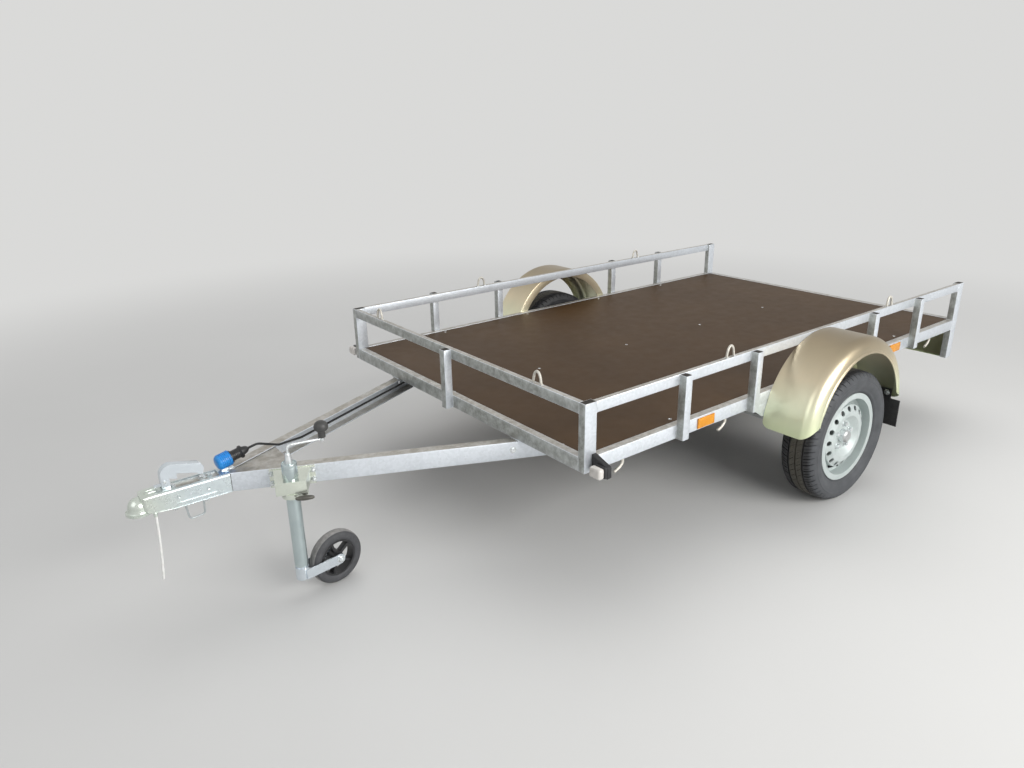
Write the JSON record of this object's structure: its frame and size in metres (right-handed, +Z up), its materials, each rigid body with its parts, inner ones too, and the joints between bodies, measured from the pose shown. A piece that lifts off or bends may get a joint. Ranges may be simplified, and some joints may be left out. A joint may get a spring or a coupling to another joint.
{
  "type": "utility trailer",
  "caption": "Single-axle flat-deck utility trailer with low side rails, V drawbar, ball coupling, jockey wheel and half-round mudguards.",
  "frame": {"origin": "on the floor below the middle of the whole length, midway between the wheels", "axes": "+X towards the coupling, +Y to the trailer's left, +Z up"},
  "size_m": [3.767, 1.98, 0.736],
  "materials": {
    "galvanised_tube": "hot-dip galvanised, spangled and a little dull",
    "galvanised_sheet": "galvanised sheet, semi-gloss",
    "zinc_parts": "bright zinc plated",
    "dark_zinc": "darkened steel",
    "board": "dark brown phenolic film over plywood",
    "tyre": "black rubber with a matt sheen",
    "rim_silver": "silver wheel paint",
    "hub_steel": "zinc plated hub",
    "black_rubber": "matt black rubber",
    "black_plastic": "black plastic",
    "grey_rubber": "dark grey solid rubber",
    "amber": "amber reflector plastic",
    "white_lens": "clear white lens",
    "red_lens": "red lens",
    "blue_plastic": "bright blue plastic",
    "white_cord": "white braided cord"
  },
  "bodies": {
    "chassis": {"left_side_beam": "galvanised_tube", "right_side_beam": "galvanised_tube", "front_beam": "galvanised_tube", "rear_beam": "galvanised_tube", "cross_members": "galvanised_tube", "deck_board": "board", "front_corner_posts": "galvanised_tube", "rear_corner_posts": "galvanised_tube", "left_posts": "galvanised_tube", "right_posts": "galvanised_tube", "front_post": "galvanised_tube", "left_rail": "galvanised_tube", "right_rail": "galvanised_tube", "front_rail": "galvanised_tube", "left_rope_eyes": "galvanised_tube", "right_rope_eyes": "galvanised_tube", "front_rope_eyes": "galvanised_tube", "rope_hooks": "galvanised_tube", "side_reflectors": "amber", "front_lamp_arms": "black_rubber", "front_lamps": "white_lens", "rear_lamp_panel": "galvanised_sheet", "rear_lamps": "red_lens", "axle_rails": "galvanised_tube", "axle_brackets": "galvanised_tube", "axle_tube": "galvanised_tube", "swing_arms": "hub_steel", "left_mudguard": "galvanised_sheet", "right_mudguard": "galvanised_sheet", "mudflaps": "black_rubber", "left_drawbar_member": "galvanised_tube", "right_drawbar_member": "galvanised_tube", "drawbar_plates": "galvanised_tube", "coupling_body": "zinc_parts", "coupling_lever": "zinc_parts", "coupling_bail": "zinc_parts", "plug_holder": "blue_plastic", "plug_bracket": "zinc_parts", "plug": "black_plastic", "lamp_lead": "black_rubber", "jockey_clamp": "zinc_parts", "clamp_handle": "dark_zinc", "safety_cord": "white_cord"},
    "left_wheel": {"left_tyre": "tyre", "left_rim": "rim_silver", "left_hub": "hub_steel"},
    "right_wheel": {"right_tyre": "tyre", "right_rim": "rim_silver", "right_hub": "hub_steel"},
    "jockey_leg": {"jockey_outer_tube": "zinc_parts", "jockey_crank": "zinc_parts", "crank_knob": "black_plastic"},
    "jockey_inner_leg": {"jockey_inner_tube": "zinc_parts"},
    "jockey_fork": {"jockey_fork": "zinc_parts"},
    "jockey_wheel": {"jockey_tyre": "grey_rubber", "jockey_rim": "black_plastic"}
  },
  "joints": [
    {"name": "left_wheel_spin", "type": "hinge", "parent": "chassis", "child": "left_wheel", "pos_m": [-0.5895, 0.892, 0.273], "axis": [0, 1, 0], "continuous": true},
    {"name": "right_wheel_spin", "type": "hinge", "parent": "chassis", "child": "right_wheel", "pos_m": [-0.5895, -0.892, 0.273], "axis": [0, 1, 0], "continuous": true},
    {"name": "jockey_clamp_slide", "type": "slide", "parent": "chassis", "child": "jockey_leg", "axis": [0, 0, 1], "range_m": [0, 0.16]},
    {"name": "jockey_crank_slide", "type": "slide", "parent": "jockey_leg", "child": "jockey_inner_leg", "axis": [0, 0, -1], "range_m": [0, 0.15]},
    {"name": "jockey_swivel", "type": "hinge", "parent": "jockey_inner_leg", "child": "jockey_fork", "pos_m": [1.4275, 0.1921, 0.097], "axis": [0, 0, 1], "continuous": true},
    {"name": "jockey_wheel_spin", "type": "hinge", "parent": "jockey_fork", "child": "jockey_wheel", "pos_m": [1.29876, 0.17401, 0.097], "axis": [-0.1392, 0.9903, 0], "continuous": true}
  ]
}
